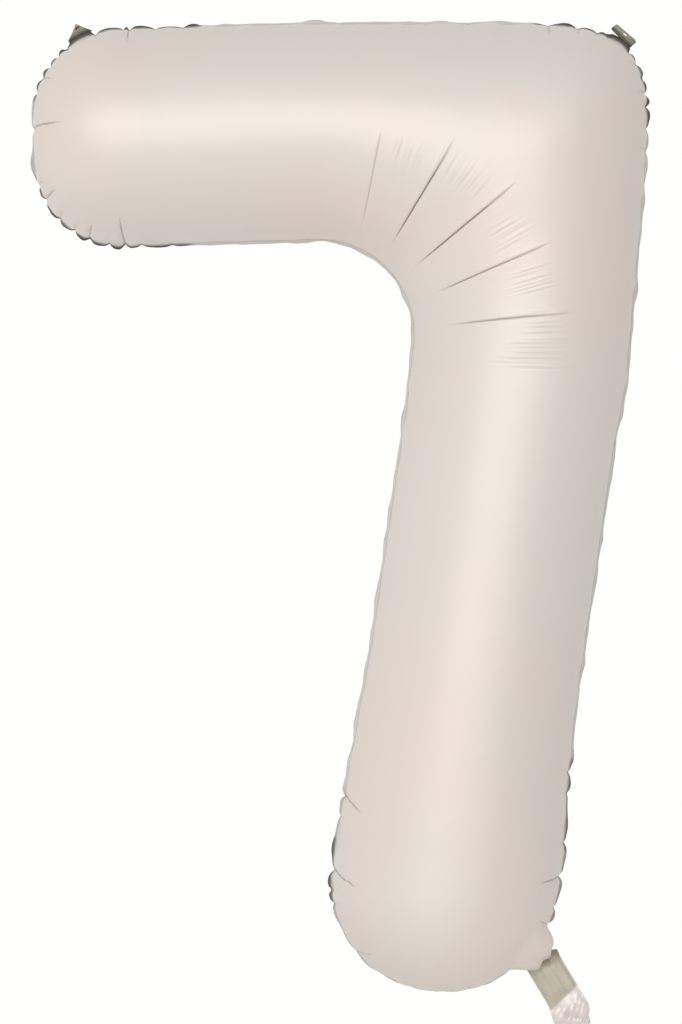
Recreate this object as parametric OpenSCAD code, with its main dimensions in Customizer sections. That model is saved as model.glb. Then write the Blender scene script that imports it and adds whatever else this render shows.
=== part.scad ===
// Inflated foil number balloon in the shape of a seven.
// Two film panels are sealed to each other all the way round their edge. Two small tabs with hanging
// holes stand on that sealed edge, and a flat filling neck with a film valve inside leaves the foot.
// X points right, Z points up, the front faces -Y, and the sealed edge lies in the plane Y = 0.

/* [Tube] */
// Width of the inflated tube between its seams
tube_w = 190; // [170:1:210]
// Depth of the inflated tube, front to back
tube_d = 190; // [160:1:200]
// Length of the round end of the tube, where its depth falls to nothing
end_len = 92; // [80:1:95]

/* [Arm] */
// Length of the arm's axis from the elbow to its free end
arm_len = 246; // [200:1:300]
// Droop of the arm's axis from level, in degrees
arm_lean = 1.8; // [0:0.2:3]
// Radius of the seam at the two corners of the arm's free end
arm_corner = 78; // [60:1:90]

/* [Elbow] */
// Distance of the elbow's centre to the left of the origin
elbow_left = 20; // [10:1:30]
// Height of the elbow's centre above the origin
elbow_up = 170; // [150:1:190]
// Radius of the seam round the inside of the elbow
elbow_r = 85; // [70:1:100]
// Lean of the edge beside the outer corner, in degrees from upright
shoulder_lean = 5; // [3:0.5:8]
// Sharpness of the outer corner: a larger number gives a sharper corner
corner_power = 7.5; // [5:0.5:12]
// Extra depth at the outer corner, as a share of the extra width there
corner_swell = 0.2; // [0:0.05:0.4]

/* [Stem] */
// Length of the stem's axis from the elbow to the foot
stem_len = 559; // [450:1:600]
// Lean of the stem's axis from upright, in degrees
stem_lean = 8.5; // [6:0.5:12]
// Radius of the seam at the two corners of the foot
foot_corner = 91; // [80:1:92]

/* [Film] */
// Thickness of each panel
film_t = 0.5; // [0.4:0.1:0.8]
// Thickness of each valve film
valve_t = 0.25; // [0.2:0.05:0.3]
// Width of the sealed edge outside the seam
flange_w = 5; // [4:0.5:7]
// Gap left on each side of a fold line, so that the two sides can turn
fold_gap = 0.8; // [0.7:0.1:1.2]

/* [Hanging tabs] */
// Width of a tab along the sealed edge
tab_w = 24; // [18:1:30]
// Height of a tab
tab_h = 16; // [14:1:20]
// Radius of a tab's two free corners
tab_corner = 4; // [2:1:6]
// Radius of the hanging hole
hole_r = 2.25; // [2:0.25:3]
// Height of the hole's centre above the fold line
hole_up = 9.5; // [8:0.5:11]
// Place of the left tab round the arm's upper corner, in degrees from +X
left_tab_at = 117; // [110:1:130]
// Place of the right tab round the elbow, in degrees from +X
right_tab_at = 44.5; // [40:0.5:50]
// Angle by which the left tab leans to the back
left_tab_lean = 56; // [0:2:70]
// Angle by which the right tab leans to the back
right_tab_lean = 64; // [0:2:70]

/* [Neck] */
// Place of the neck round the foot, in degrees from +X
neck_at = -36.5; // [-50:0.5:-20]
// Direction of the neck, in degrees from +X
neck_dir = -59; // [-75:1:-45]
// Half of the neck's width between its side seams
neck_a = 16; // [14:0.5:18]
// Width of the neck's sealed side edges
neck_flange = 3; // [2:0.5:4]
// Length from the root of the neck to its second fold
neck_fold_at = 50; // [40:1:60]
// Length from the root of the neck to its open mouth
neck_len = 80; // [70:1:100]
// Half of the opening inside the neck, front to back
neck_gap = 4.4; // [3:0.1:6]
// Length by which the valve films stand out of the mouth
valve_lip = 8; // [4:1:15]
// Length of the valve films inside the body
tongue_len = 100; // [60:5:140]
// Width of the valve films inside the body
tongue_w = 34; // [26:1:36]

/* [Hidden] */
satin = [0.87, 0.83, 0.78];
film_back = [0.62, 0.60, 0.54];
clear_film = [0.90, 0.91, 0.92, 0.5];
arc_steps = 14;   // facets across a film, from seam to seam
end_steps = 7;    // sections along a round end
elbow_steps = 24; // sections round the elbow
sleeve_gap = 0.8; // space between a valve film and the neck film outside it

half_w = tube_w / 2;
half_d = tube_d / 2;
elbow = [-elbow_left, elbow_up];
outer_r = elbow_r + tube_w + flange_w;                   // elbow's centre to the outer edge of the tube
shoulder_r = outer_r * cos(stem_lean - shoulder_lean);   // elbow's centre to the edge beside the corner
stem_top = elbow + (elbow_r + half_w) * unit(-stem_lean);
arm_tip = elbow + (elbow_r + half_w) * unit(90 + arm_lean) + arm_len * unit(180 + arm_lean);
foot_centre = stem_top + (stem_len - foot_corner) * unit(-stem_lean - 90)
    + (half_w - foot_corner) * unit(-stem_lean);         // centre of the foot's outer corner

function unit(angle) = [cos(angle), sin(angle)];

// A section is [centre, direction across, half width, outer edge, inner edge, half depth].
// Distance from the elbow's centre to the outer edge, moved inwards by inset.
function outer_reach(angle, inset) =
    let (up = max(sin(angle), 0) / (outer_r - inset))
    let (side = max(cos(angle + shoulder_lean), 0) / (shoulder_r - inset))
    pow(pow(up, corner_power) + pow(side, corner_power), -1 / corner_power);

function elbow_section(angle) =
    let (seam = outer_reach(angle, flange_w))
    let (half = (seam - elbow_r) / 2)
    [elbow + (elbow_r + half) * unit(angle), unit(angle), half,
     outer_reach(angle, 0) - elbow_r - half, half + flange_w,
     half_d + corner_swell * (half - half_w)];

// Half width of a round end at distance s from its tip, for corners of radius r grown by extra.
function end_half(s, r, extra) = half_w - r + sqrt(pow(r + extra, 2) - pow(max(r - s, 0), 2));
function end_depth(s) = half_d * sqrt(1 - pow(1 - s / end_len, 2));
function end_section(tip, inward, across, s, r) =
    let (edge = end_half(s, r, flange_w))
    [tip + s * inward, across, end_half(s, r, 0), edge, edge, end_depth(s)];
// The first section of an end is the flat outer edge, and the others start at the seam.
function end_sections(tip, inward, across, r) = concat(
    [[tip - flange_w * inward, across, 0.7 * (half_w - r), half_w - r, half_w - r, 0]],
    [for (k = [0:end_steps])
        end_section(tip, inward, across, end_len * (1 - cos(90 * k / end_steps)), r)]);

function reversed(list) = [for (k = [len(list) - 1:-1:0]) list[k]];

function body_sections() =
    let (foot_tip = stem_top + stem_len * unit(-stem_lean - 90))
    let (first = 90 + arm_lean)
    concat(
        end_sections(arm_tip, unit(arm_lean), unit(first), arm_corner),
        [for (k = [0:elbow_steps]) elbow_section(first - (first + stem_lean) * k / elbow_steps)],
        reversed(end_sections(foot_tip, unit(90 - stem_lean), unit(-stem_lean), foot_corner)));

// One row of points across a film: its two flat edges and the arch between them.
function film_point(s, across, depth) =
    [s[0][0] + across * s[1][0], -depth, s[0][1] + across * s[1][1]];
function film_row(s, lift) = concat(
    [film_point(s, s[3], lift)],
    [for (k = [0:arc_steps]) let (a = 180 * k / arc_steps)
        film_point(s, (s[2] + lift) * cos(a), lift + s[5] * sin(a))],
    [film_point(s, -s[4], lift)]);

// Two triangles over the points a, b, c, d, taken clockwise as seen from outside.
function quad(a, b, c, d) = [[a, b, c], [a, c, d]];

// A film of even thickness that arches to the front, one row of points for each section.
module film(sections, thick) {
    rows = len(sections);
    cols = arc_steps + 3;
    under = rows * cols;
    points = [for (lift = [thick, 0]) for (s = sections) each film_row(s, lift)];
    faces = [
        for (i = [0:rows - 2]) for (j = [0:cols - 2]) let (p = i * cols + j)
            each concat(quad(p, p + cols, p + cols + 1, p + 1),
                        quad(under + p, under + p + 1, under + p + cols + 1, under + p + cols)),
        for (i = [0:rows - 2]) for (j = [0, cols - 1]) let (p = i * cols + j)
            let (side = quad(p, under + p, under + p + cols, p + cols))
            each (j == 0 ? side : [for (f = side) reversed(f)]),
        for (i = [0, rows - 1]) for (j = [0:cols - 2]) let (p = i * cols + j)
            let (rim = quad(p, p + 1, under + p + 1, under + p))
            each (i == 0 ? rim : [for (f = rim) reversed(f)])
    ];
    polyhedron(points, faces, convexity = 8);
}

module to_back() { mirror([0, 1, 0]) children(); }

module front_panel() { color(satin) film(body_sections(), film_t); }
module back_panel() { color(satin) to_back() film(body_sections(), film_t); }

// A flat tab that stands on its fold line at the origin, on the front side of Y = 0.
module tab_film() {
    rotate([90, 0, 0]) linear_extrude(film_t) difference() {
        union() {
            translate([-tab_w / 2, 0]) square([tab_w, tab_h - tab_corner]);
            translate([-tab_w / 2 + tab_corner, 0]) square([tab_w - 2 * tab_corner, tab_h]);
            for (side = [-1, 1])
                translate([side * (tab_w / 2 - tab_corner), tab_h - tab_corner])
                    circle(tab_corner, $fn = 32);
        }
        translate([0, hole_up]) circle(hole_r, $fn = 32);
    }
}

// Carries a tab to its fold line, facing outwards at the given angle and leaning to the back.
module at_edge(root, angle, lean) {
    translate([root[0], 0, root[1]]) rotate([0, 90 - angle, 0]) rotate([-lean, 0, 0]) children();
}

left_corner = arm_tip + arm_corner * unit(arm_lean) + (half_w - arm_corner) * unit(90 + arm_lean);
left_root = left_corner + (arm_corner + flange_w + fold_gap) * unit(left_tab_at);
right_root = elbow + (outer_reach(right_tab_at, 0) + fold_gap) * unit(right_tab_at);

module left_tab_front() {
    color(film_back) at_edge(left_root, left_tab_at, left_tab_lean) tab_film();
}
module left_tab_back() {
    color(film_back) at_edge(left_root, left_tab_at, left_tab_lean) to_back() tab_film();
}
module right_tab_front() {
    color(film_back) at_edge(right_root, right_tab_at, right_tab_lean) tab_film();
}
module right_tab_back() {
    color(film_back) at_edge(right_root, right_tab_at, right_tab_lean) to_back() tab_film();
}

// The neck's sections turn from the tangent of the foot's edge to square across the neck.
neck_root = foot_centre + (foot_corner + flange_w + fold_gap) * unit(neck_at);
neck_skew = neck_at - neck_dir;
skew_len = 24;
function neck_turn(s) = neck_skew * max(1 - s / skew_len, 0);
function neck_section(s, depth, a, edge) =
    let (grow = 1 / cos(neck_turn(s)))
    [neck_root + s * unit(neck_dir), unit(neck_dir + 90 + neck_turn(s)),
     a * grow, edge * grow, edge * grow, depth];
// The neck is flat at a fold and round between folds: x runs from 0 at one end to 1 at the other.
function neck_depth(x) = neck_gap * sin(180 * x);
function end_mouth_depth(x) = neck_gap * sin(90 * min(1.2 * x, 1));

neck_rows = 7;
neck_edge = neck_a + neck_flange;
neck_stop = neck_fold_at - fold_gap;
neck_restart = neck_fold_at + fold_gap;
function share(k) = k / neck_rows;

module neck_film() {
    film([for (k = [0:neck_rows]) let (x = share(k))
        neck_section(x * neck_stop, neck_depth(x), neck_a, neck_edge)], film_t);
}
module neck_end_film() {
    film([for (k = [0:neck_rows]) let (x = share(k))
        neck_section(neck_restart + x * (neck_len - neck_restart), end_mouth_depth(x),
                     neck_a, neck_edge)], film_t);
}

module neck_front() { color(film_back) neck_film(); }
module neck_back() { color(film_back) to_back() neck_film(); }
module neck_end_front() { color(satin) neck_end_film(); }
module neck_end_back() { color(satin) to_back() neck_end_film(); }

// The two valve films lie inside the neck. They are narrower, and stop short of each fold.
valve_a = 12.5;
valve_edge = 14;
module sleeve_film() {
    film([for (k = [1:neck_rows - 1]) let (x = share(k))
        neck_section(x * neck_stop, neck_depth(x) - sleeve_gap, valve_a, valve_edge)], valve_t);
}
module lip_film() {
    run = neck_len - neck_restart;
    film([for (s = [0.25 * run, 0.5 * run, 0.75 * run, run, run + valve_lip])
        neck_section(neck_restart + s, end_mouth_depth(s / run) - sleeve_gap,
                     valve_a, valve_edge)], valve_t);
}

module valve_sleeve_front() { color(clear_film) sleeve_film(); }
module valve_sleeve_back() { color(clear_film) to_back() sleeve_film(); }
module valve_lip_front() { color(clear_film) lip_film(); }
module valve_lip_back() { color(clear_film) to_back() lip_film(); }

// Inside the body the valve films lie flat on each other, and gas pressure keeps them shut.
// Their outer end is sealed between the two panels' edges, and runs along the neck's fold line.
tongue_root = 2 * fold_gap;
tongue_turn = neck_at - neck_dir;
module tongue_film() {
    translate([neck_root[0], 0, neck_root[1]]) rotate([0, -90 - neck_dir, 0]) rotate([90, 0, 0])
        linear_extrude(valve_t) {
            side = tongue_w / 2;
            slant = side * tan(tongue_turn);
            polygon([[-side, tongue_root - slant], [side, tongue_root + slant],
                     [side, tongue_len - side], [-side, tongue_len - side]]);
            translate([0, tongue_len - side]) circle(side, $fn = 48);
        }
}
module valve_tongue_front() { color(clear_film) tongue_film(); }
module valve_tongue_back() { color(clear_film) to_back() tongue_film(); }

front_panel();
back_panel();
left_tab_front();
left_tab_back();
right_tab_front();
right_tab_back();
neck_front();
neck_back();
neck_end_front();
neck_end_back();
valve_sleeve_front();
valve_sleeve_back();
valve_lip_front();
valve_lip_back();
valve_tongue_front();
valve_tongue_back();
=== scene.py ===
# %% [markdown]
# # A foil number balloon, from flat film to finished piece
# The real balloon is two flat films, heat-welded round their edge and filled with gas. It has a
# long arm, a round elbow and a leaning stem. Two small hanging tabs and a filling neck grow out
# of the weld. The frame comes first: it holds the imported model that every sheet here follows.

# %% Load the frame
import math

import bpy
import numpy as np
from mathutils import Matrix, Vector


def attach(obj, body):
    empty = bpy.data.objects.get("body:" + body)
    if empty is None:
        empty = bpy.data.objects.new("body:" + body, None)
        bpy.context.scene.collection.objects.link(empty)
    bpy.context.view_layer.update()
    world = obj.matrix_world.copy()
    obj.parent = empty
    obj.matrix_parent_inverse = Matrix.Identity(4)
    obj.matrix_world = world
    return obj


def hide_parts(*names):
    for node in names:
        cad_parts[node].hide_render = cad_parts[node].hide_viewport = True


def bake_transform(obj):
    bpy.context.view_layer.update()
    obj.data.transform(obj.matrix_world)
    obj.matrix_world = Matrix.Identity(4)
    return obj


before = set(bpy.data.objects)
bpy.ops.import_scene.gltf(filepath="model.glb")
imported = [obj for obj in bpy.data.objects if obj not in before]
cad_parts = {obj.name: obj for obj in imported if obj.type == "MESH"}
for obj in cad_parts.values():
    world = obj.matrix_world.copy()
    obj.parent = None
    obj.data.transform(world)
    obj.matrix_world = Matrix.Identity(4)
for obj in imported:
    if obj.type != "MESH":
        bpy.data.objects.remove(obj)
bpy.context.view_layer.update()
bpy.ops.object.select_all(action="DESELECT")

# %% [markdown]
# ## The body's outline
# A welded edge runs round the whole number. It could be traced as one curve, but then the two
# films would need their own surfaces fitted to it. Instead the body is described by chords: each
# chord joins the weld on one side to the weld on the other, and the film arches over it. The
# outline is the solid model's arm, elbow and stem, in millimetres. Creases and the neck's pucker
# aside, the film departs from the solid in three ways: both ends are blunter, and the stem is
# fuller above the foot and slimmer higher up.

# %% Outline dimensions and helpers
HALF, DEPTH, END = 95.0, 95.0, 92.0
ELBOW, INNER, MARGIN = np.array([-20.0, 170.0]), 85.0, 5.0
ARM_LEAN, STEM_LEAN, SHOULDER_LEAN = 1.8, 8.5, 5.0
ARM_LENGTH, STEM_LENGTH = 246.0, 559.0
ARM_CORNER, FOOT_CORNER = 78.0, 91.0
CORNER_POWER, CORNER_SWELL = 7.5, 0.2
COLUMNS = 64
END_POWER = 2.8
FOLD_GAP = 0.8
FILM_THICK, TAB_THICK, VALVE_THICK = 0.3, 0.5, 0.12
FILMS_APART = 0.22


def unit(degrees):
    turn = np.radians(degrees)
    return np.stack([np.cos(turn), np.sin(turn)], -1)


def smooth(low, high, value):
    t = np.clip((value - low) / (high - low), 0, 1)
    return t * t * (3 - 2 * t)


def reach(angle, inset):
    """Distance from the elbow's centre to the outer edge, along a direction."""
    outer = INNER + 2 * HALF + MARGIN
    shoulder = outer * np.cos(np.radians(STEM_LEAN - SHOULDER_LEAN))
    up = np.maximum(np.sin(np.radians(angle)), 0) / (outer - inset)
    side = np.maximum(np.cos(np.radians(angle + SHOULDER_LEAN)), 0) / (shoulder - inset)
    return (up**CORNER_POWER + side**CORNER_POWER) ** (-1 / CORNER_POWER)


STEM_TOP = ELBOW + (INNER + HALF) * unit(-STEM_LEAN)
ARM_TIP = ELBOW + (INNER + HALF) * unit(90 + ARM_LEAN) + ARM_LENGTH * unit(180 + ARM_LEAN)
FOOT_TIP = STEM_TOP + STEM_LENGTH * unit(-STEM_LEAN - 90)
print("arm tip", ARM_TIP.round(1), "foot tip", FOOT_TIP.round(1))

# %% [markdown]
# ## Chords along the arm, the elbow and the stem
# Chords stand close together where the film is creased and further apart where it is calm. At
# the elbow they fan out and also turn a little, because the pleats of a bent tube lean off the
# true radius. A full balloon also bulges a little above its foot, so those chords grow.

# %% Chord rows


def end_rows(tip, inward, across, corner, count):
    s = END * (1 - np.cos(np.linspace(0, 1, count) ** 1.3 * np.pi / 2))
    half = HALF - corner + np.sqrt(corner**2 - np.maximum(corner - s, 0) ** 2)
    deep = DEPTH * np.maximum(1 - (1 - s / END) ** END_POWER, 0) ** (1 / END_POWER)
    return np.column_stack([tip + s[:, None] * inward, np.tile(across, (count, 1)), half, deep])


def straight_rows(start, along, across, at):
    count = len(at)
    return np.column_stack([start + at[:, None] * along, np.tile(across, (count, 1)),
                            np.full(count, HALF), np.full(count, DEPTH)])


def elbow_rows(angle):
    shear = np.interp(angle, [-8.5, 3.3, 19.3, 35.5, 52.4, 70.2, 92],
                      [0, 1.0, 1.9, 2.0, 3.5, 4.5, 0])
    inner = ELBOW + INNER * unit(angle - shear)
    outer = ELBOW + reach(angle + shear, MARGIN)[:, None] * unit(angle + shear)
    width = np.linalg.norm(outer - inner, axis=1)
    return np.column_stack([(inner + outer) / 2, (outer - inner) / width[:, None], width / 2,
                            DEPTH + CORNER_SWELL * (width / 2 - HALF)])


PLEAT_ANGLES = np.array([70.2, 52.4, 35.5, 19.3, 3.3])


def elbow_angles():
    """Angles of the elbow's chords: a degree apart by the arm, a third of a degree beyond, and a
    tenth beside each pleat."""
    angles = [90.0 + ARM_LEAN]
    while angles[-1] > -STEM_LEAN + 0.2:
        near = np.abs(PLEAT_ANGLES - angles[-1]).min()
        calm = 1.0 if angles[-1] > 76 else 0.33
        angles.append(angles[-1] - (0.11 if near < 0.6 else calm))
    return np.array(angles[:-1] + [-STEM_LEAN])


def body_rows():
    up, down, right = unit(90 + ARM_LEAN), unit(-STEM_LEAN - 90), unit(-STEM_LEAN)
    along_arm = np.concatenate([np.arange(END + 2.5, 152, 2.5),
                                np.linspace(152, ARM_LENGTH - 8, 10)])
    down_stem = np.concatenate([np.arange(0.9, 27, 0.9), np.linspace(32, 337, 34),
                                np.arange(339, STEM_LENGTH - END, 2.0)])
    stem = np.concatenate([straight_rows(STEM_TOP, down, right, down_stem),
                           end_rows(FOOT_TIP, -down, right, FOOT_CORNER, 100)[::-1]])
    height = (stem[:, :2] - FOOT_TIP) @ -down
    flare = np.exp(-(((height - 118) / 62) ** 2))
    slim = -2.2 * smooth(200, 300, height) * smooth(0, 60, STEM_LENGTH - height)
    outer, inner = 7.0 * flare + slim, 2.5 * flare + slim
    stem[:, :2] += right * ((outer - inner) / 2)[:, None]
    stem[:, 4] += (outer + inner) / 2
    return np.concatenate([end_rows(ARM_TIP, unit(ARM_LEAN), up, ARM_CORNER, 100),
                           straight_rows(ARM_TIP, unit(ARM_LEAN), up, along_arm),
                           elbow_rows(elbow_angles()), stem])


ROWS = body_rows()
print(len(ROWS), "chords of", COLUMNS, "steps each")

# %% [markdown]
# ## The arched film and its weld line
# Each chord becomes half an ellipse of film. The ends of all the chords, taken in order, are the
# weld line. Every point of the film then learns two numbers: how far round the weld its nearest
# weld point is, and how far it is from the weld along the film. The gathers use those numbers.

# %% Film grid and weld line
PHI = np.pi * np.arange(COLUMNS + 1) / COLUMNS
PHI = PHI - 0.05 * np.pi * np.sin(2 * PHI)


def arched_film():
    across = ROWS[:, None, 4] * np.cos(PHI)
    flat = ROWS[:, None, :2] + ROWS[:, None, 2:4] * across[..., None]
    return np.dstack([flat[..., 0], -ROWS[:, None, 5] * np.sin(PHI), flat[..., 1]])


def outward_normals(grid):
    normal = np.cross(np.gradient(grid, axis=1), np.gradient(grid, axis=0))
    normal /= np.linalg.norm(normal, axis=2, keepdims=True) + 1e-9
    away = grid - np.dstack([np.repeat(ROWS[:, 0:1], COLUMNS + 1, 1),
                             np.zeros(grid.shape[:2]),
                             np.repeat(ROWS[:, 1:2], COLUMNS + 1, 1)])
    return normal * np.sign((normal * away).sum(2, keepdims=True) + 1e-9)


def weld_order():
    last = len(ROWS) - 1
    return np.array([(0, j) for j in range(COLUMNS, -1, -1)]
                    + [(i, 0) for i in range(1, last + 1)]
                    + [(last, j) for j in range(1, COLUMNS + 1)]
                    + [(i, COLUMNS) for i in range(last - 1, 0, -1)])


FILM = arched_film()
NORMAL = outward_normals(FILM)
WELD = weld_order()
weld_line = FILM[WELD[:, 0], WELD[:, 1]][:, [0, 2]]
step = np.roll(weld_line, -1, 0) - weld_line
ROUND = np.concatenate([[0], np.cumsum(np.linalg.norm(step, axis=1))])
WELD_LENGTH, ROUND = ROUND[-1], ROUND[:-1]
tangent = np.roll(weld_line, -1, 0) - np.roll(weld_line, 1, 0)
tangent /= np.linalg.norm(tangent, axis=1, keepdims=True)
WELD_OUT = np.column_stack([-tangent[:, 1], tangent[:, 0]])

flat = FILM[..., [0, 2]].reshape(-1, 2)
nearest = np.concatenate([((part[:, None] - weld_line) ** 2).sum(2).argmin(1)
                          for part in np.array_split(flat, 60)])
gap = np.linalg.norm(flat - weld_line[nearest], axis=1).reshape(FILM.shape[:2])
AROUND = ROUND[nearest].reshape(FILM.shape[:2])
INWARD = DEPTH * np.arccos(np.clip(1 - gap / DEPTH, -1, 1))
print("weld line", round(WELD_LENGTH), "mm, furthest film", round(INWARD.max()), "mm from it")

# %% [markdown]
# ## Gathers along the weld
# Flat film can't go round a corner without gathering, so a filled balloon's weld is scalloped at
# the arm's end, the outer corner and the foot. At each gather the weld dips in to a point, and a
# short crease runs into the film. Between gathers the film pillows out. A pressure simulation
# was tried, and it gave messy folds and changed the outline. These are listed one by one instead.

# %% Gathers: place round the weld, depth of the dip, length of the crease, all in mm
GATHERS = [
    (26, 2.2, 32), (60, 1.6, 6), (73, 1.2, 12), (85, 2.0, 8), (96, 1.2, 7), (106, 1.6, 8),
    (135, 1.8, 8), (160, 1.5, 5), (165, 1.8, 17), (188, 1.6, 6), (212, 0.9, 5), (238, 0.8, 5),
    (262, 0.6, 4), (300, 0.5, 4), (352, 0.5, 4), (408, 0.5, 5), (466, 0.5, 4),
    (536, 1.3, 13), (563, 1.2, 9), (580, 1.4, 7), (591, 1.4, 6), (613, 1.8, 8), (625, 1.8, 8),
    (639, 1.6, 8), (653, 1.8, 9), (664, 1.4, 7), (684, 1.5, 6), (704, 1.2, 9), (733, 0.6, 5),
    (1218, 0.8, 8), (1259, 1.6, 8), (1277, 1.0, 6), (1321, 1.4, 8), (1351, 2.6, 21),
    (1379, 1.4, 6), (1396, 2.2, 12), (1446, 1.2, 8), (1487, 0.5, 9), (1514, 0.3, 4),
    (1542, 0.6, 9), (1566, 0.3, 4), (1598, 0.8, 13), (1620, 0.5, 4), (1644, 1.3, 7),
    (1656, 1.2, 5), (1674, 2.6, 24), (1722, 1.2, 8), (1740, 2.0, 18), (1790, 0.7, 8),
    (1838, 0.5, 5), (2300, 0.5, 6), (2418, 0.9, 6), (2445, 1.3, 8), (2459, 2.4, 23),
    (2473, 1.4, 6), (2491, 2.0, 13), (2506, 1.6, 6), (2523, 1.6, 8), (2543, 2.0, 14),
    (2557, 1.4, 7),
]
# most creases run square to the weld, and these slant round it by so much for each mm inwards
SLANTS = {1351: 0.27, 1396: -0.4, 1542: -0.9, 1598: -0.9, 1674: -0.53, 1740: -0.6, 2459: 0.12}
LINE_FROM = 9
PLACE, DIP, CREASE = (np.array(column, float) for column in zip(*GATHERS))
SLANT = np.array([SLANTS.get(int(place), 0.0) for place in PLACE])


def wrapped(difference):
    return (difference + WELD_LENGTH / 2) % WELD_LENGTH - WELD_LENGTH / 2


def scallop(around):
    """Pillow between neighbouring gathers: its share of full height, and its height in mm."""
    after = np.searchsorted(PLACE, around) % len(PLACE)
    before = after - 1
    span = (PLACE[after] - PLACE[before]) % WELD_LENGTH
    share = ((around - PLACE[before]) % WELD_LENGTH) / span
    height = 0.5 * np.minimum(DIP[before], DIP[after]) * np.clip(1.6 - span / 60, 0, 1)
    return 4 * share * (1 - share), height


def gathered(around, inward, inset):
    """Height of the gathers, from the distances to the weld along the film and in plan."""
    pillow, height = scallop(around)
    lift = height * pillow * np.exp(-inward / 16)
    for place, dip, crease, slant in zip(PLACE, DIP, CREASE, SLANT):
        off = np.abs(wrapped(around - place - slant * inset))
        fades = 1 - smooth(0.45 * crease, crease, inset)
        narrow = 1.9 if crease >= LINE_FROM else 1.15
        lift -= dip * np.exp(-off / 3.2) * np.exp(-inward / (0.3 * crease + 3))
        lift -= 0.62 * dip * np.exp(-((off / narrow) ** 2)) * fades * smooth(0, 2, inward)
        lift += 0.20 * dip * np.exp(-(((off - 2.6 * narrow) / 2.2) ** 2)) * fades
    return lift


def crease_lines(around, inset):
    """Signed distance from the nearest long crease, and the strength of the painted shade line along
    it, 0 to 1.
    """
    long = CREASE >= LINE_FROM
    off = np.stack([wrapped(around - place - slant * inset)
                    for place, slant in zip(PLACE[long], SLANT[long])])
    which = np.abs(off).argmin(0)
    length = CREASE[long][which]
    off = np.take_along_axis(off, which[None], 0)[0]
    fades = (1 - smooth(0.5 * length, length, inset)) * np.clip(length / 18, 0.45, 1)
    return off, np.where(np.abs(off) < 7, fades, 0)


print(len(GATHERS), "gathers, mean crease", round(CREASE.mean(), 1), "mm")

# %% [markdown]
# ## Pleats and fine crinkles at the elbow
# The inside of the bend has too much film, so it folds into long sharp pleats. Each is a narrow
# valley with a raised lip on one side and a small peak at its far end, and it fades towards the
# bend's inner edge. Between the pleats, the slack shows as bundles of fine short ridges. A bump map
# would do for the ridges from the front only, so both are real shape here.

# %% Pleats: row angle, start and end radius, strength. Crinkles: first and last ridge, count
PLEATS = list(zip(PLEAT_ANGLES, (88, 92, 94, 96, 102), (177, 193, 201, 207, 217),
                  (0.45, 1.0, 1.0, 0.75, 0.75)))
CRINKLES = [((43, 322), (47, 336), (66, 311), (70, 327), 6, 1.3),
            ((89, 302), (98, 320), (112, 283), (123, 299), 9, 1.3),
            ((118, 268), (132, 276), (125, 258), (146, 270), 3, 0.5),
            ((125, 252), (154, 268), (136, 239), (161, 255), 5, 0.9),
            ((145, 218), (181, 229), (143, 198), (190, 211), 6, 0.8),
            ((166, 187), (203, 190), (154, 163), (199, 165), 6, 1.1),
            ((139, 160), (198, 161), (124, 139), (190, 138), 6, 1.2)]
COLUMN_RADIUS = np.linalg.norm(FILM[..., [0, 2]] - ELBOW, axis=2)


def row_angles():
    """The elbow angle of each chord, and far-off values outside the elbow."""
    fan = elbow_angles()
    start = int(np.argmin([np.abs(elbow_rows(fan[:1])[0, :2] - row[:2]).sum() for row in ROWS]))
    angles = np.full(len(ROWS), 500.0)
    angles[start:start + len(fan)] = fan
    return angles


FAN = np.repeat(row_angles()[:, None], COLUMNS + 1, 1)


def pleated(shift, scale):
    """Height of the pleats, and the painted shade along each pleat's valley, from 0 to 1."""
    lift, fold = np.zeros(FAN.shape), np.zeros(FAN.shape)
    for angle, start, stop, strength in PLEATS:
        off = np.radians(FAN - angle - shift) * COLUMN_RADIUS
        share = (COLUMN_RADIUS - start) / (stop - start)
        body = smooth(0.0, 0.4, share) * (1 - smooth(0.96, 1.01, share)) * strength * scale
        valley = np.exp(-((off / 0.75) ** 2))
        lip = 0.75 * np.exp(-np.abs(off) / 5) * np.where(off > 0, 1, -0.25)
        tip = 1.3 * np.exp(-((off - 1.6) / 1.2) ** 2) * smooth(0.78, 0.93, share)
        lift += body * (-1.9 * valley + lip + tip)
        # the painted shade along the valley, fading at both ends
        fold += strength * scale * np.exp(-((off / 0.62) ** 2)) * smooth(0, 0.3, share) * (
            1 - smooth(0.7, 1.0, share))
    return lift, fold


def crinkled(chance, scale):
    lift = np.zeros(FAN.shape)
    plan = FILM[..., [0, 2]]
    for start_low, start_high, stop_low, stop_high, count, height in CRINKLES:
        for n in range(count):
            share = (n + chance.uniform(-0.25, 0.25)) / (count - 1)
            inner = np.array(start_low) * (1 - share) + np.array(stop_low) * share
            outer = np.array(start_high) * (1 - share) + np.array(stop_high) * share
            length = np.linalg.norm(outer - inner)
            way = (outer - inner) / length
            inner = inner + way * length * chance.uniform(-0.15, 0.2)
            length *= chance.uniform(0.8, 1.15)
            along = (plan - inner) @ way / length
            off = (plan - inner) @ np.array([-way[1], way[0]])
            body = smooth(0, 0.25, along) * (1 - smooth(0.75, 1, along))
            ridge = np.exp(-((off / 0.85) ** 2)) - 0.7 * np.exp(-(((off + 1.7) / 0.9) ** 2))
            lift += scale * 0.60 * height * chance.uniform(0.6, 1.1) * body * ridge
    return lift


print(len(PLEATS), "pleats,", sum(c[4] for c in CRINKLES), "fine ridges")

# %% [markdown]
# ## Slack in the film
# No filled film is a perfect tube. Long shallow waves run along it, strongest near the weld.
# They come from a few seeded sine waves, so every run gives the same film, and the front and the
# back get their own.

# %% Slack waves


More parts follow.
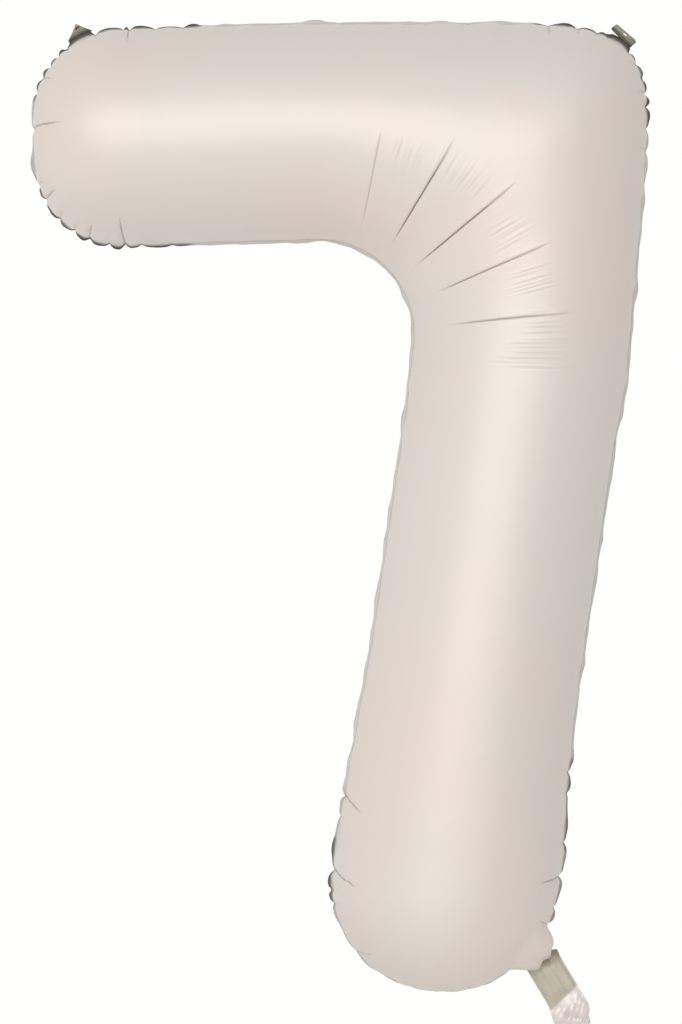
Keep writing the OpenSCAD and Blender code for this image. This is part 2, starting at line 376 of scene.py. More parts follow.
def slack(points, chance, height, wavelength):
    lift = np.zeros(points.shape[:2])
    for _ in range(9):
        way = chance.normal(size=3)
        way *= 2 * np.pi / (wavelength * chance.uniform(0.6, 1.7) * np.linalg.norm(way))
        lift += np.sin(points @ way + chance.uniform(0, 2 * np.pi))
    return height * lift / 3


def weld_waves(chance):
    """Soft ripples square to the weld, that fade in the first few centimetres of film."""
    lift = np.zeros(AROUND.shape)
    for _ in range(8):
        turns = np.round(WELD_LENGTH / chance.uniform(14, 60))
        lift += np.sin(2 * np.pi * turns * AROUND / WELD_LENGTH + chance.uniform(0, 2 * np.pi))
    return 0.32 * lift * np.exp(-INWARD / 34) * smooth(0, 6, INWARD)


print("waves ready")

# %% [markdown]
# ## The neck's pucker
# The films of the neck run straight into the two panels, so the panels bunch up there and hang
# over the neck's root as a small scalloped lip. The weld margin lies flat there.

# %% Pucker over the neck's root
NECK_PLACE, TAB_PLACES = 1421.0, (122.0, 601.0)
PUCKER_REACH, PUCKER_HALF, PUCKER_SHIFT = 16.5, 19.5, 2.0


def pucker(around, inward):
    """How far the front film bulges out over the neck, a little way in from the weld."""
    off = wrapped(around - NECK_PLACE + PUCKER_SHIFT)
    lobe = smooth(2, 14, inward) * (1 - smooth(18, 52, inward))
    folds = 1 + 0.07 * np.cos(2 * np.pi * (off + 3) / 12.5)
    return PUCKER_REACH * lobe * np.exp(-((off / PUCKER_HALF) ** 4)) * folds


print("pucker up to", round(pucker(np.array([NECK_PLACE]), np.array([13.0]))[0], 1), "mm")

# %% [markdown]
# ## The weld margin
# Outside the weld line both films carry on for 5 mm, pressed flat together. That margin turns to
# the back all round, and is finely crimped on straight edges, with painted shade in the crimps.
# On round corners it is too long for its place, so it curls over further at the gathers. There,
# and at the tab and neck roots, the margin is painted near-black as painted shade.
# At the neck and the tabs it lies flat.

# %% Curled margin: stretch of weld, how far it curls, how much painted shade it gets
STRETCHES = [(52, 228, 1.0, 1.0), (-8, 52, 0.7, 0.20), (2400, 2566, 1.0, 1.0),
             (2566, 2584, 0.7, 0.25), (524, 686, 1.0, 1.0), (686, 706, 0.8, 0.2),
             (1246, 1330, 1.0, 0.85), (1330, 1404, 0.95, 0.6), (1440, 1640, 1.0, 0.3),
             (1640, 1704, 0.9, 0.9), (1704, 1748, 0.6, 0.3)]
# the painted shade of the curled margin, from 0 to 1, at each weld point
corner, painted_shade = np.zeros(len(ROUND)), np.zeros(len(ROUND))
for start, stop, curls, shade_share in STRETCHES:
    off = np.abs(wrapped(ROUND - (start + stop) / 2))
    here = 1 - smooth((stop - start) / 2 - 5, (stop - start) / 2 + 5, off)
    corner, painted_shade = np.maximum(corner, curls * here), np.maximum(painted_shade, shade_share * here)
PILLOW = scallop(ROUND)[0]
uneven = np.random.default_rng(41)
tilt_here = uneven.uniform(0.7, 1.2, len(PLACE))[np.searchsorted(PLACE, ROUND) % len(PLACE)]
wander = sum(np.sin(2 * np.pi * n * ROUND / WELD_LENGTH + uneven.uniform(0, 6))
             for n in (31, 47, 68, 93))
tucked = 1 - smooth(80, 100, np.abs(wrapped(ROUND - 1540)))
CURL = np.radians(60 + 7 * wander + corner * (50 - 58 * np.sqrt(PILLOW)) * tilt_here + 34 * tucked)
level, MARGIN_OUT = np.zeros(len(ROUND)), np.full(len(ROUND), MARGIN)
for place, half, radius in [(NECK_PLACE, 19, 96), (TAB_PLACES[0], 10, 83), (TAB_PLACES[1], 11, 70)]:
    off = wrapped(ROUND - place)
    here = 1 - smooth(half - 2, half + 2, np.abs(off))
    level = np.maximum(level, here)
    MARGIN_OUT = MARGIN_OUT + here * off**2 / (2 * radius)
CURL = np.clip(CURL, 0, np.radians(100)) * (1 - level)
CRIMP = 0.16 * np.sin(2 * np.pi * ROUND / 4.3) * (1 - corner) * (1 - level)
MARGIN_RINGS = 3
print("curled margin", round(np.degrees(CURL).min()), "to", round(np.degrees(CURL).max()), "deg")

# %% [markdown]
# ## Making a sheet
# A sheet is a grid of points, joined by quads. The panel's grid also gets its margin rings,
# joined to the weld line, so each panel is one piece of film. The film is then given its
# thickness, so that it is closed all round.

# %% Mesh helpers


def new_sheet(name, points, quads, marks):
    mesh = bpy.data.meshes.new(name)
    mesh.from_pydata((np.asarray(points) * 0.001).tolist(), [], np.asarray(quads).tolist())
    for mark, values in marks.items():
        layer = mesh.attributes.new(mark, "FLOAT", "POINT")
        layer.data.foreach_set("value", np.asarray(values, np.float32))
    mesh.validate()
    piece = bpy.data.objects.new(name, mesh)
    bpy.context.scene.collection.objects.link(piece)
    mesh.polygons.foreach_set("use_smooth", np.ones(len(mesh.polygons), bool))
    return piece


def thicken(piece, millimetres, offset=0.0):
    bpy.ops.object.select_all(action="DESELECT")
    bpy.context.view_layer.objects.active = piece
    piece.select_set(True)
    modifier = piece.modifiers.new("film", "SOLIDIFY")
    modifier.thickness, modifier.offset = millimetres * 0.001, offset
    modifier.use_even_offset = False
    bpy.ops.object.modifier_apply(modifier="film")
    piece.select_set(False)
    print(piece.name, len(piece.data.vertices), "points,",
          2 * len(piece.data.polygons), "triangles")
    return piece


def grid_quads(rows, columns, first=0):
    corner_at = first + (np.arange(rows - 1)[:, None] * columns + np.arange(columns - 1)).ravel()
    return np.column_stack([corner_at, corner_at + 1, corner_at + columns + 1,
                            corner_at + columns])


# %% [markdown]
# ## The front and back films
# Both films share the weld line and its gathers, so they meet exactly. Away from the weld each
# has its own waves, and the back's pleats are a little weaker and turned by a degree.

# %% Panels


def panel(name, side, seed):
    """side is 1 for the front film and -1 for the back one."""
    chance = np.random.default_rng(seed)
    own = 1 - np.exp(-((INWARD / 5) ** 2))
    lift = gathered(AROUND, INWARD, gap)
    crease_off, crease_shade = crease_lines(AROUND, gap)
    pleats, pleat_shade = pleated(0.0, 1.0) if side > 0 else pleated(1.1, 0.8)
    lift += own * (pleats + crinkled(chance, 1.0) + weld_waves(chance)
                   + slack(FILM, chance, 0.45, 150) + slack(FILM, chance, 0.12, 45))
    shape = FILM + NORMAL * lift[..., None]
    out = np.dstack([WELD_OUT[nearest, 0].reshape(AROUND.shape), np.zeros(AROUND.shape),
                     WELD_OUT[nearest, 1].reshape(AROUND.shape)])
    shape += out * (pucker(AROUND, INWARD) * (1.0 if side > 0 else 0.1))[..., None]
    shape[..., 1] *= side
    place = shape[WELD[:, 0], WELD[:, 1]]
    place[:, 1] = 0
    shape[WELD[:, 0], WELD[:, 1], 1] = -side * FILMS_APART
    rings, turn = [], 0.5 * CURL
    for ring in range(1, MARGIN_RINGS + 1):
        length = MARGIN_OUT / MARGIN_RINGS
        place = place + np.column_stack([WELD_OUT[:, 0] * np.cos(turn) * length,
                                         np.sin(turn) * length + CRIMP * ring / MARGIN_RINGS,
                                         WELD_OUT[:, 1] * np.cos(turn) * length])
        facing = np.column_stack([WELD_OUT[:, 0] * np.sin(turn), -np.cos(turn),
                                  WELD_OUT[:, 1] * np.sin(turn)])
        rings.append(place + side * FILMS_APART * facing)
        turn = np.minimum(turn + 0.5 * CURL, np.radians(120))
    body_count, columns = shape.shape[0] * shape.shape[1], COLUMNS + 1
    rim = [WELD[:, 0] * columns + WELD[:, 1]]
    rim += [body_count + n * len(WELD) + np.arange(len(WELD)) for n in range(MARGIN_RINGS)]
    quads = [grid_quads(len(ROWS), columns)]
    for inner, outer in zip(rim, rim[1:]):
        quads.append(np.column_stack([inner, np.roll(inner, -1), np.roll(outer, -1), outer]))
    quads = np.concatenate(quads)[:, ::side]
    no_margin = np.zeros(MARGIN_RINGS * len(WELD))
    marks = {
        "margin": np.concatenate([np.exp(-INWARD.ravel() / 1.2) * 0.4,
                                  *[np.full(len(WELD), (n + 1) / MARGIN_RINGS)
                                    for n in range(MARGIN_RINGS)]]),
        "around": np.concatenate([AROUND.ravel(), *[ROUND] * MARGIN_RINGS]),
        # the margin rings carry their stretch's painted shade
        "margin_shade": np.concatenate([np.zeros(body_count), *[painted_shade * b for b in (0.9, 1, 1)]]),
        "fold": np.concatenate([pleat_shade.ravel(), no_margin]),
        "crease_off": np.concatenate([crease_off.ravel(), no_margin]),
        "crease_shade": np.concatenate([crease_shade.ravel(), no_margin]),
    }
    piece = new_sheet(name, np.concatenate([shape.reshape(-1, 3), *rings]), quads, marks)
    return thicken(piece, FILM_THICK)


front_film = panel("front_film", 1, 7)
back_film = panel("back_film", -1, 19)

# %% [markdown]
# ## Hanging tabs
# At each top corner the margin widens into a small tab with a punched hole for a hanging thread.
# Both films are welded there, so a tab is one thin leaf. It is cut here as rays from the hole to
# a rounded outline, which keeps the hole round, and then curled: the left one has rolled up
# almost into a cone, and the right one leans back along the edge. A narrow strip below the fold
# lies in the margin.

# %% Tabs


def tab_frame(root, angle, lean):
    """Axes of a tab: along its fold line, outwards along the leaning tab, and its front side."""
    out, back = unit(angle), math.radians(lean)
    along = np.array([out[1], 0, -out[0]])
    outward = np.array([out[0] * math.cos(back), math.sin(back), out[1] * math.cos(back)])
    return np.array([root[0], 0, root[1]]), along, outward, np.cross(along, outward)


TAB_STRIP = 2.2
TAB_WIDTH, TAB_HEIGHT, TAB_CORNER = 24.0, 16.0, 4.0
HOLE_RADIUS, HOLE_UP = 2.25, 9.5
LEFT_TAB_AT, LEFT_TAB_LEAN = 117, 56
RIGHT_TAB_AT, RIGHT_TAB_LEAN = 44.5, 64


def tab_leaf(width, height, corner_r, hole_r, hole_up, rays=72, rings=9):
    turn = 2 * np.pi * np.arange(rays) / rays
    way = np.column_stack([np.cos(turn), np.sin(turn)])
    reach_out = np.linspace(0, 40, 1601)
    ray = way[:, None] * reach_out[:, None] + [0, hole_up]
    over = np.abs(ray[..., 0]) - (width / 2 - corner_r)
    above = ray[..., 1] - (height - corner_r)
    inside = ((np.maximum(over, 0) ** 2 + np.maximum(above, 0) ** 2 <= corner_r**2)
              | (above < 0) & (over <= corner_r)) & (ray[..., 1] >= -TAB_STRIP)
    edge = reach_out[inside.cumprod(1).sum(1) - 1]
    share = np.linspace(0, 1, rings) ** 1.2
    radius = hole_r + (edge[:, None] - hole_r) * share
    leaf = way[:, None] * radius[..., None] + [0, hole_up]
    index = np.arange(rays * rings).reshape(rays, rings)
    nxt = np.roll(index, -1, 0)
    quads = np.stack([index[:, :-1], index[:, 1:], nxt[:, 1:], nxt[:, :-1]], -1).reshape(-1, 4)
    return leaf.reshape(-1, 2), quads


def tab(name, root, angle, lean, shape):
    origin, along, outward, facing = tab_frame(root, angle, lean)
    leaf, quads = tab_leaf(TAB_WIDTH, TAB_HEIGHT, TAB_CORNER, HOLE_RADIUS, HOLE_UP)
    x, up, front_side = shape(np.column_stack([leaf, np.zeros(len(leaf))])).T
    bent = smooth(-0.6, 0.8, up)[:, None]
    flat_out = np.array([unit(angle)[0], 0, unit(angle)[1]])
    points = origin + x[:, None] * along + up[:, None] * (outward * bent + flat_out * (1 - bent))
    points += front_side[:, None] * facing * bent + np.array([0, 0.55, 0]) * (1 - bent)
    normal = np.cross(points[quads[:, 1]] - points[quads[:, 0]],
                      points[quads[:, 3]] - points[quads[:, 0]]).sum(0)
    if normal @ facing < 0:
        quads = quads[:, ::-1]
    # root and side mark where the tab gets painted shade
    marks = {"root": 1 - np.clip(leaf[:, 1] / 7, 0, 1), "side": leaf[:, 0] / 12}
    return thicken(new_sheet(name, points, quads, marks), TAB_THICK)


def fold_over(points, start, stop, degrees, radius):
    """Folds what lies to the right of the line from start to stop, to the front if positive."""
    start, stop = np.array(start, float), np.array(stop, float)
    way = (stop - start) / np.linalg.norm(stop - start)
    aside = np.array([way[1], -way[0]])
    past = (points[:, :2] - start) @ aside
    full = abs(math.radians(degrees))
    turn = np.clip(past / radius, 0, full)
    rest = np.maximum(past - full * radius, 0)
    flat_run = radius * np.sin(turn) + rest * np.cos(full)
    rise = radius * (1 - np.cos(turn)) + rest * np.sin(full)
    moved = points.copy()
    bent = past > 0
    moved[bent, :2] += ((flat_run - past)[:, None] * aside)[bent]
    moved[bent, 2] += (np.sign(degrees) * rise)[bent]
    return moved


def coned(points):
    points = fold_over(points, (11, -2.2), (-0.5, 15.6), -171, 0.45)
    points = fold_over(points, (-0.5, 15.6), (-12, -2.2), -167, 0.6)
    x, up, rise = points.T
    crown = np.maximum(up, 0) / 16
    return np.column_stack([x + 0.10 * np.maximum(up, 0), up, rise + (2.6 - 0.03 * x**2) * crown])


def leaning(points):
    x, up, rise = points.T
    rise = rise + 0.5 * np.sin(x / 5 + 0.6) * (up / 16) + 0.9 * smooth(9, 16, up) * smooth(2, 12, x)
    return np.column_stack([x, up, rise])


left_corner = ARM_TIP + ARM_CORNER * unit(ARM_LEAN) + (HALF - ARM_CORNER) * unit(90 + ARM_LEAN)
left_root = left_corner + (ARM_CORNER + MARGIN + FOLD_GAP) * unit(LEFT_TAB_AT)
right_root = ELBOW + (reach(RIGHT_TAB_AT, 0) + FOLD_GAP) * unit(RIGHT_TAB_AT)
left_tab = tab("left_tab_leaf", left_root, LEFT_TAB_AT, LEFT_TAB_LEAN, coned)
right_tab = tab("right_tab_leaf", right_root, RIGHT_TAB_AT, RIGHT_TAB_LEAN, leaning)
print("tab roots", left_root.round(1), right_root.round(1))

# %% [markdown]
# ## The filling neck
# The neck is a flat tail of the same two films, left unprinted outside, with one fold line part
# way along. It is two long strips that meet along both sides. Each strip is a fine grid laid over
# the neck's line, with a shallow arch, lengthways creases from handling, and a crumpled, curling
# end.

# %% Neck strips
NECK_DIR, NECK_LENGTH, NECK_FOLD = -59.0, 80.0, 50.0
NECK_AT = -36.5
ROOT_SLANT = np.radians(NECK_AT - NECK_DIR)
NECK_ROOT = (STEM_TOP + (STEM_LENGTH - FOOT_CORNER) * unit(-STEM_LEAN - 90)
             + (HALF - FOOT_CORNER) * unit(-STEM_LEAN)
             + (FOOT_CORNER + MARGIN + FOLD_GAP) * unit(NECK_AT))


def neck_strip(name, side, half, root_gap, length, seed, offset, film):
    rows, columns = 100, 44
    s = np.linspace(root_gap, length, rows)[:, None] + np.zeros(columns)
    t = np.linspace(1, -1, columns)[None] + np.zeros((rows, 1))
    rounded = np.sqrt(np.maximum(1 - (np.maximum(s - (length - 15), 0) / 17) ** 2, 0))
    across = t * half
    along = s + across * np.tan(ROOT_SLANT * np.maximum(1 - s / 24, 0))
    # both strips share these bends, so that they stay together
    end = smooth(NECK_FOLD - 6, NECK_LENGTH - 8, s)
    bunch = smooth(0, 12, s)
    narrowed = across * (1 - 0.17 * bunch + 0.13 * end) * rounded + 2.4 * bunch * (1 - end)
    gap = 4.5 * smooth(3, 22, s) * (1 - 0.5 * smooth(38, 50, s)) + 3 * end
    arch = np.maximum(gap - offset, 0.35) * np.sqrt(np.maximum(1 - (t / 0.88) ** 2, 0)) + film
    shared = 1.3 * np.sin(across / 9.5 + s / 26) * bunch
    shared += end * (2.2 * np.sin(across / 3.4 + s / 5.2) + 1.8 * np.sin(s / 2.9 - across / 4.3))
    shared += end * (1.1 * np.sin(s / 1.7 + across / 2.3) - 5.0 * end * np.cos(t * 2.1))
    crease = -0.5 * np.exp(-((across - 4 - s * 0.06) / 1.3) ** 2) - 0.4 * np.exp(
        -((across + 6 + s * 0.05) / 1.6) ** 2)
    chance = np.random.default_rng(seed)
    fine = sum(np.sin(across * chance.uniform(0.2, 0.7) + s * chance.uniform(0.05, 0.3)
                      + chance.uniform(0, 6)) for _ in range(4)) * 0.10
    y = -side * (arch + (crease + fine) * smooth(0, 0.5, 1 - np.abs(t)) * smooth(0, 10, s)) + shared
    way, aside = unit(NECK_DIR), unit(NECK_DIR + 90)
    flat_at = NECK_ROOT + along[..., None] * way + narrowed[..., None] * aside
    points = np.dstack([flat_at[..., 0], y, flat_at[..., 1]]).reshape(-1, 3)
    quads = grid_quads(rows, columns)[:, ::side]
    marks = {"along": (s / NECK_LENGTH).ravel(), "across": t.ravel()}
    return new_sheet(name, points, quads, marks)


neck_pieces = []
for side, label in [(1, "front"), (-1, "back")]:
    strip = neck_strip(f"neck_{label}_film", side, 19.0, 0.0, NECK_LENGTH - 4, 3, 0.0, 0.25)
    neck_pieces.append(thicken(strip, FILM_THICK))
valve_pieces = []
for side, label in [(1, "front"), (-1, "back")]:
    strip = neck_strip(f"valve_{label}_film", side, 13.5, 3.0, NECK_LENGTH + 5, 5, 1.2, 0.0)
    valve_pieces.append(thicken(strip, VALVE_THICK))
print("neck root", NECK_ROOT.round(1))

# %% [markdown]
# ## The valve inside
# Two clear films carry on from the neck into the body. Gas pressure presses them together, which
# is the whole valve. They lie flat in the middle of the balloon, with a round inner end.

# %% Valve tongues


def tongue(name, side):
    s, t = np.meshgrid(np.linspace(0, 1, 60), np.linspace(1, -1, 24), indexing="ij")
    length, half, first = 100.0, 17.0, 2.4
    tip = np.sqrt(np.maximum(1 - np.maximum((s * length - (length - half)) / half, 0) ** 2, 0))
    across = t * half * np.maximum(tip, 0.02)
    start = first + across * math.tan(ROOT_SLANT) * (1 - s)
    along = start + s * (length - first)
    flat_at = NECK_ROOT - along[..., None] * unit(NECK_DIR) + across[..., None] * unit(
        NECK_DIR + 90)
    y = -side * (0.14 + 0.10 * np.sin(s * 9) * s * (1 - t**2)) + 0.5 * np.sin(s * 5) * s
    points = np.dstack([flat_at[..., 0], y, flat_at[..., 1]]).reshape(-1, 3)
    marks = {"along": s.ravel(), "across": t.ravel()}
    return thicken(new_sheet(name, points, grid_quads(60, 24)[:, ::-side], marks),
                   VALVE_THICK)


tongue_front, tongue_back = tongue("valve_front_tongue", 1), tongue("valve_back_tongue", -1)

# %% [markdown]
# ## Writing shader sums as plain expressions
# Finishes need a little arithmetic, such as a mask times a noise. Building each Math node by
# hand hides the idea, so one small class wraps a socket and turns Python operators into nodes.

# %% Shader helpers


class Signal:
    def __init__(self, finish, socket):
        self.finish, self.socket = finish, socket

    def maths(self, operation, first, second):
        return self.finish.node("Math", {"operation": operation}, {0: first, 1: second})

    def __add__(self, other):
        return self.maths("ADD", self, other)

    def __radd__(self, other):
        return self.maths("ADD", other, self)

    def __rsub__(self, other):
        return self.maths("SUBTRACT", other, self)

    def __mul__(self, other):
        return self.maths("MULTIPLY", self, other)

    def __rmul__(self, other):
        return self.maths("MULTIPLY", other, self)


class Finish:
    def __init__(self, name):
        self.material = bpy.data.materials.new(name)
        self.material.use_nodes = True
        self.tree = self.material.node_tree
        self.tree.nodes.clear()

    def node(self, kind, settings=None, inputs=None, output=0):
        made = self.tree.nodes.new("ShaderNode" + kind)
        for key, value in (settings or {}).items():
            setattr(made, key, value)
        for key, value in (inputs or {}).items():
            names = {s.identifier: s for s in made.inputs}
            socket = made.inputs[key] if isinstance(key, int) else names.get(key) or made.inputs[key]
            if isinstance(value, Signal):
                self.tree.links.new(value.socket, socket)
            else:
                socket.default_value = value
        found = {s.identifier: s for s in made.outputs}
        return Signal(self, found[output] if isinstance(output, str) else made.outputs[output])

    def place(self):
        return self.node("TexCoord", output="Object")

    def mark(self, name):
        return self.node("Attribute", {"attribute_name": name}, output="Fac")

    def noise(self, scale, detail=2.0, roughness=0.5, at=None):
        return self.node("TexNoise", {}, {"Vector": at or self.place(), "Scale": scale,
                                          "Detail": detail, "Roughness": roughness})

    def mix(self, factor, first, second):
        return self.node("Mix", {"data_type": "RGBA"},
                         {"Factor_Float": factor, "A_Color": first, "B_Color": second},
                         "Result_Color")

    def bump(self, height, distance, strength=1.0, under=None):
        inputs = {"Height": height, "Distance": distance, "Strength": strength}
        if under:
            inputs["Normal"] = under
        return self.node("Bump", {}, inputs)

    def band(self, value, low, high):
        return self.node("MapRange", {"interpolation_type": "SMOOTHSTEP"},
                         {"Value": value, "From Min": low, "From Max": high})

    def finish_with(self, shader):
        out = self.tree.nodes.new("ShaderNodeOutputMaterial")
        self.tree.links.new(shader.socket, out.inputs["Surface"])
        return self.material


print("helpers ready")

# %% [markdown]
# ## Satin foil
# The printed side of the film is a metal layer under a matt cream lacquer. It scatters a broad
# soft highlight that is whiter than its body colour. A plain gloss paint would give a hard spot,
# so the metal is rough and a thin, rough clear coat adds the pale sheen. Faint clouds of warmer
# and cooler cream, and a grain finer than a millimetre, keep it from looking like plastic.

# %% Satin foil


def satin_foil():
    f = Finish("satin_foil")
    clouds, grain = f.noise(5.5, 3.0), f.noise(1900, 2.0, 0.7)
    streaks = f.noise(60, 3.0, 0.6)
    warm, cool = (0.792, 0.704, 0.640, 1), (0.765, 0.717, 0.656, 1)
    body = f.mix(f.band(clouds, 0.38, 0.62), warm, cool)
    margin, margin_shade = f.mark("margin"), f.mark("margin_shade")
    crimp = f.node("Math", {"operation": "SINE"}, {0: f.mark("around") * (2 * math.pi / 1.9)})
    weld = f.mix(f.band(margin, 0.28, 0.42) * 0.8, body, (0.63, 0.60, 0.58, 1))
    # painted shade: grey ticks in the crimp grooves of the straight margin
    crimp_shade = f.band(crimp, 0.72, 0.96) * f.band(margin, 0.25, 0.4) * f.band(
        f.noise(70), 0.48, 0.6)
    weld = f.mix(crimp_shade * 0.35, weld, (0.33, 0.31, 0.29, 1))
    # painted shade: the curled margin on round corners and at the roots goes near-black
    colour = f.mix(margin_shade * 0.97, weld, (0.040, 0.035, 0.027, 1))
    # painted shade along each pleat's valley
    colour = f.mix(f.band(f.mark("fold"), 0.15, 1.0) * 0.72, colour, (0.20, 0.17, 0.13, 1))
    # painted shade: a thin shaded line along each long gather crease
    from_crease = f.node("Math", {"operation": "ABSOLUTE"}, {0: f.mark("crease_off")})
    line = (1 - f.band(from_crease, 0.3, 1.2)) * f.mark("crease_shade")
    colour = f.mix(line * 0.7, colour, (0.30, 0.26, 0.21, 1))
    rough = 0.46 + 0.05 * clouds + 0.04 * grain
    normal = f.bump(grain, 0.00003, 0.5)
    normal = f.bump(streaks, 0.0004, 0.15, normal)
    normal = f.bump(crimp * f.band(margin, 0.25, 0.4), 0.00015, 0.6, normal)
    shader = f.node("BsdfPrincipled", {}, {
        "Base Color": colour, "Roughness": rough, "Metallic": 0.38, "Normal": normal,
        "Coat Weight": 0.6 - 0.5 * margin_shade, "Coat Roughness": 0.48, "Specular IOR Level": 0.5})
    return f.finish_with(shader)


SATIN = satin_foil()
print(len(SATIN.node_tree.nodes), "nodes")

# %% [markdown]
# ## Bare film
# Tabs and neck are left unprinted. There the thin metal layer shows through clear film as a dull
# grey-olive. The tabs' grey-olive is darker than the neck's, and that difference is painted shade;
# painted shadow also makes them darker at the root and towards their right-hand side, the inside
# of the left tab's cone. The neck's last part has caught the cream print, with a slanting edge
# where the printing stopped, and painted shade makes its root darker under the hanging pucker.

# %% Bare film for tabs and neck


def bare_film(name, colour, painted_shade, printed=False):
    f = Finish(name)
    cloud, grain = f.noise(90, 3.0), f.noise(2600, 2.0, 0.7)
    shade = f.mix(cloud, colour, tuple(0.82 * c for c in colour[:3]) + (1,))
    if printed:
        edge = f.mark("along") + 0.05 * f.mark("across") + 0.03 * cloud
        shade = f.mix(f.band(edge, 0.60, 0.64), shade, (0.84, 0.77, 0.73, 1))
        # painted shade at the neck's root, under the hanging pucker
        shade = f.mix(f.band(f.mark("along"), 0.26, 0.05) * 0.75, shade, painted_shade)
    else:
        # painted shade at the tab's root and on its right-hand side
        shade = f.mix(f.mark("root") * 0.85, shade, painted_shade)
        shade = f.mix(f.band(f.mark("side"), 0.25, 1.0) * 0.5, shade, painted_shade)
    creases = f.noise(260, 4.0, 0.65)
    normal = f.bump(grain, 0.00003, 0.5)
    normal = f.bump(creases, 0.0007, 0.15 if printed else 0.3, normal)
    shader = f.node("BsdfPrincipled", {}, {
        "Base Color": shade, "Roughness": 0.40 + 0.12 * cloud, "Metallic": 0.45,
        "Normal": normal, "Coat Weight": 0.3, "Coat Roughness": 0.35})
    return f.finish_with(shader)


# the tabs' grey-olive is darker than the neck's; that difference is painted shade
TAB_FILM = bare_film("tab_bare_film", (0.37, 0.35, 0.26, 1), (0.060, 0.047, 0.030, 1))
NECK_FILM = bare_film("neck_bare_film", (0.60, 0.55, 0.43, 1), (0.17, 0.14, 0.10, 1), True)

# %% [markdown]
# ## Clear valve film
# The valve films are thin soft plastic, clear but slightly milky, and crumpled where they stick
# out of the mouth. Low alpha with a bright coat reads as wet-looking film without real glass,
# which would cost a lot of light bounces for four thin sheets.

# %% Clear film


def clear_film():
    f = Finish("clear_valve_film")
    cloud, folds = f.noise(120, 3.0), f.noise(420, 4.0, 0.6)
    colour = f.mix(cloud, (0.86, 0.87, 0.88, 1), (0.95, 0.95, 0.94, 1))
    normal = f.bump(folds, 0.0012, 0.5)
    shader = f.node("BsdfPrincipled", {}, {
        "Base Color": colour, "Roughness": 0.14 + 0.12 * cloud, "Normal": normal,
        "Alpha": 0.42 + 0.4 * f.band(folds, 0.5, 0.7), "Coat Weight": 0.4,
        "Coat Roughness": 0.1})
    return f.finish_with(shader)


CLEAR = clear_film()
print("clear film ready")

# %% [markdown]
# ## Handing each sheet its finish, and the panels and tongues their body
# The front and back films and the valve tongues ride with the model's body. The tabs and the
# neck strips stay where they were built. Every sheet hides the part of the model that it stands
# for. The neck strips cross the neck's end fold.

# %% Finishes and riding
FINISHES = {front_film: SATIN, back_film: SATIN, left_tab: TAB_FILM, right_tab: TAB_FILM,
            tongue_front: CLEAR, tongue_back: CLEAR}
FINISHES.update({piece: NECK_FILM for piece in neck_pieces})
FINISHES.update({piece: CLEAR for piece in valve_pieces})
for piece, material in FINISHES.items():
    piece.data.materials.clear()
    piece.data.materials.append(material)

for piece, node in [(front_film, "front_panel"), (back_film, "back_panel")]:
    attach(piece, "body")
    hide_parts(node)
for piece, label, root, angle in [(left_tab, "left_tab", left_root, LEFT_TAB_AT),
                                  (right_tab, "right_tab", right_root, RIGHT_TAB_AT)]:
    leaf_side, strip_side = (root + 0.9 * unit(angle)) * 0.001, (root - 0.9 * unit(angle)) * 0.001
    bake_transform(piece)
    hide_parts(label + "_front", label + "_back")
for piece, label in [(tongue_front, "front"), (tongue_back, "back")]:
    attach(piece, "body")
    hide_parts("valve_tongue_" + label)


def neck_point(s):
    flat_at = (NECK_ROOT + s * unit(NECK_DIR)) * 0.001
    return (flat_at[0], 0, flat_at[1])


for piece, label, names, size in [
        (neck_pieces[0], "film_edge", ("neck_front", "neck_end_front"), (0.038, 0.080)),
        (neck_pieces[1], "film_edge", ("neck_back", "neck_end_back"), (0.038, 0.080)),
        (valve_pieces[0], "clear_film", ("valve_sleeve_front", "valve_lip_front"), (0.027, 0.085)),
        (valve_pieces[1], "clear_film", ("valve_sleeve_back", "valve_lip_back"), (0.027, 0.085))]:
    neck_point(NECK_FOLD - 5)
    neck_point(NECK_FOLD + 5)
    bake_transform(piece)
    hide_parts(*names)

# %% [markdown]
# ## Floor, light and camera
# A pale floor and a bright, even surround suit a satin surface, which shows whatever is around
# it. One broad soft light sits in front and a little above, and gives the long pale band along
# the middle of each tube. The camera looks level from the front.

# %% Stage
bpy.ops.mesh.primitive_plane_add(size=2.4, location=(0, 0, -0.75))
floor = bpy.context.object
floor.name = "floor"
pale = Finish("pale_floor")
floor.data.materials.append(pale.finish_with(pale.node("BsdfPrincipled", {}, {
    "Base Color": pale.mix(pale.noise(3, 4.0), (0.90, 0.90, 0.89, 1), (0.94, 0.94, 0.93, 1)),
    "Roughness": 0.8})))


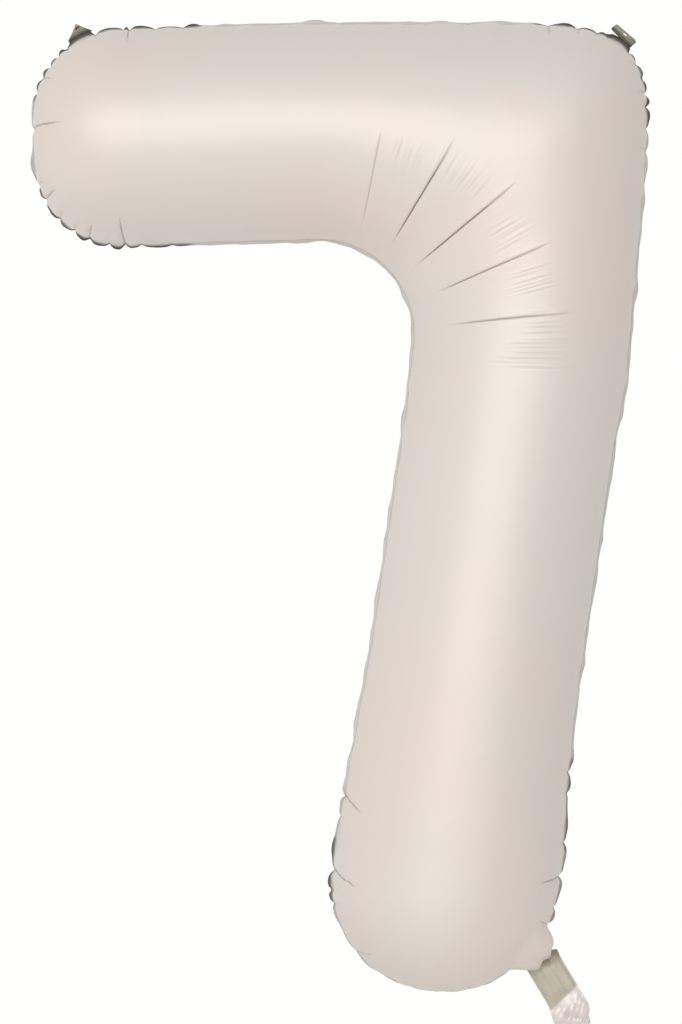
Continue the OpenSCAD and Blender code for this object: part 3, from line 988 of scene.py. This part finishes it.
def soft_light(name, place, aim, width, height, watts):
    data = bpy.data.lights.new(name, "AREA")
    data.shape, data.size, data.size_y, data.energy = "RECTANGLE", width, height, watts
    lamp = bpy.data.objects.new(name, data)
    lamp.location = place
    lamp.rotation_euler = (Vector(aim) - Vector(place)).to_track_quat("-Z", "Y").to_euler()
    bpy.context.scene.collection.objects.link(lamp)


soft_light("front_softbox", (-0.15, -3.2, 0.8), (0, 0, 0.0), 3.4, 1.8, 28.5)

world = bpy.data.worlds.new("studio")
bpy.context.scene.world = world
world.use_nodes = True
tree = world.node_tree
tree.nodes.clear()
seen, room = tree.nodes.new("ShaderNodeBackground"), tree.nodes.new("ShaderNodeBackground")
seen.inputs["Color"].default_value = (1, 1, 0.985, 1)
seen.inputs["Strength"].default_value = 1.0
direction = tree.nodes.new("ShaderNodeTexCoord")
falls, level_at = tree.nodes.new("ShaderNodeVectorMath"), tree.nodes.new("ShaderNodeMath")
falls.operation, falls.inputs[1].default_value = "DOT_PRODUCT", (-0.13, 0.0, -0.03)
level_at.inputs[1].default_value = 0.775
tree.links.new(direction.outputs["Generated"], falls.inputs[0])
tree.links.new(falls.outputs["Value"], level_at.inputs[0])
room.inputs["Color"].default_value = (1, 0.995, 0.99, 1)
tree.links.new(level_at.outputs[0], room.inputs["Strength"])
path, choose = tree.nodes.new("ShaderNodeLightPath"), tree.nodes.new("ShaderNodeMixShader")
out = tree.nodes.new("ShaderNodeOutputWorld")
tree.links.new(path.outputs["Is Camera Ray"], choose.inputs[0])
tree.links.new(room.outputs[0], choose.inputs[1])
tree.links.new(seen.outputs[0], choose.inputs[2])
tree.links.new(choose.outputs[0], out.inputs["Surface"])

camera_data = bpy.data.cameras.new("camera")
camera = bpy.data.objects.new("camera", camera_data)
bpy.context.scene.collection.objects.link(camera)
CAMERA_AWAY, VIEW_TALL = 4.0, 0.908
camera.location = (-0.0004, -CAMERA_AWAY, 0.0128)
camera.rotation_euler = (math.radians(90), 0, 0)
camera_data.lens = camera_data.sensor_width * CAMERA_AWAY / VIEW_TALL
camera_data.clip_end = 50
bpy.context.scene.camera = camera
bpy.context.scene.view_settings.view_transform = "Standard"
print("lens", round(camera_data.lens, 1))
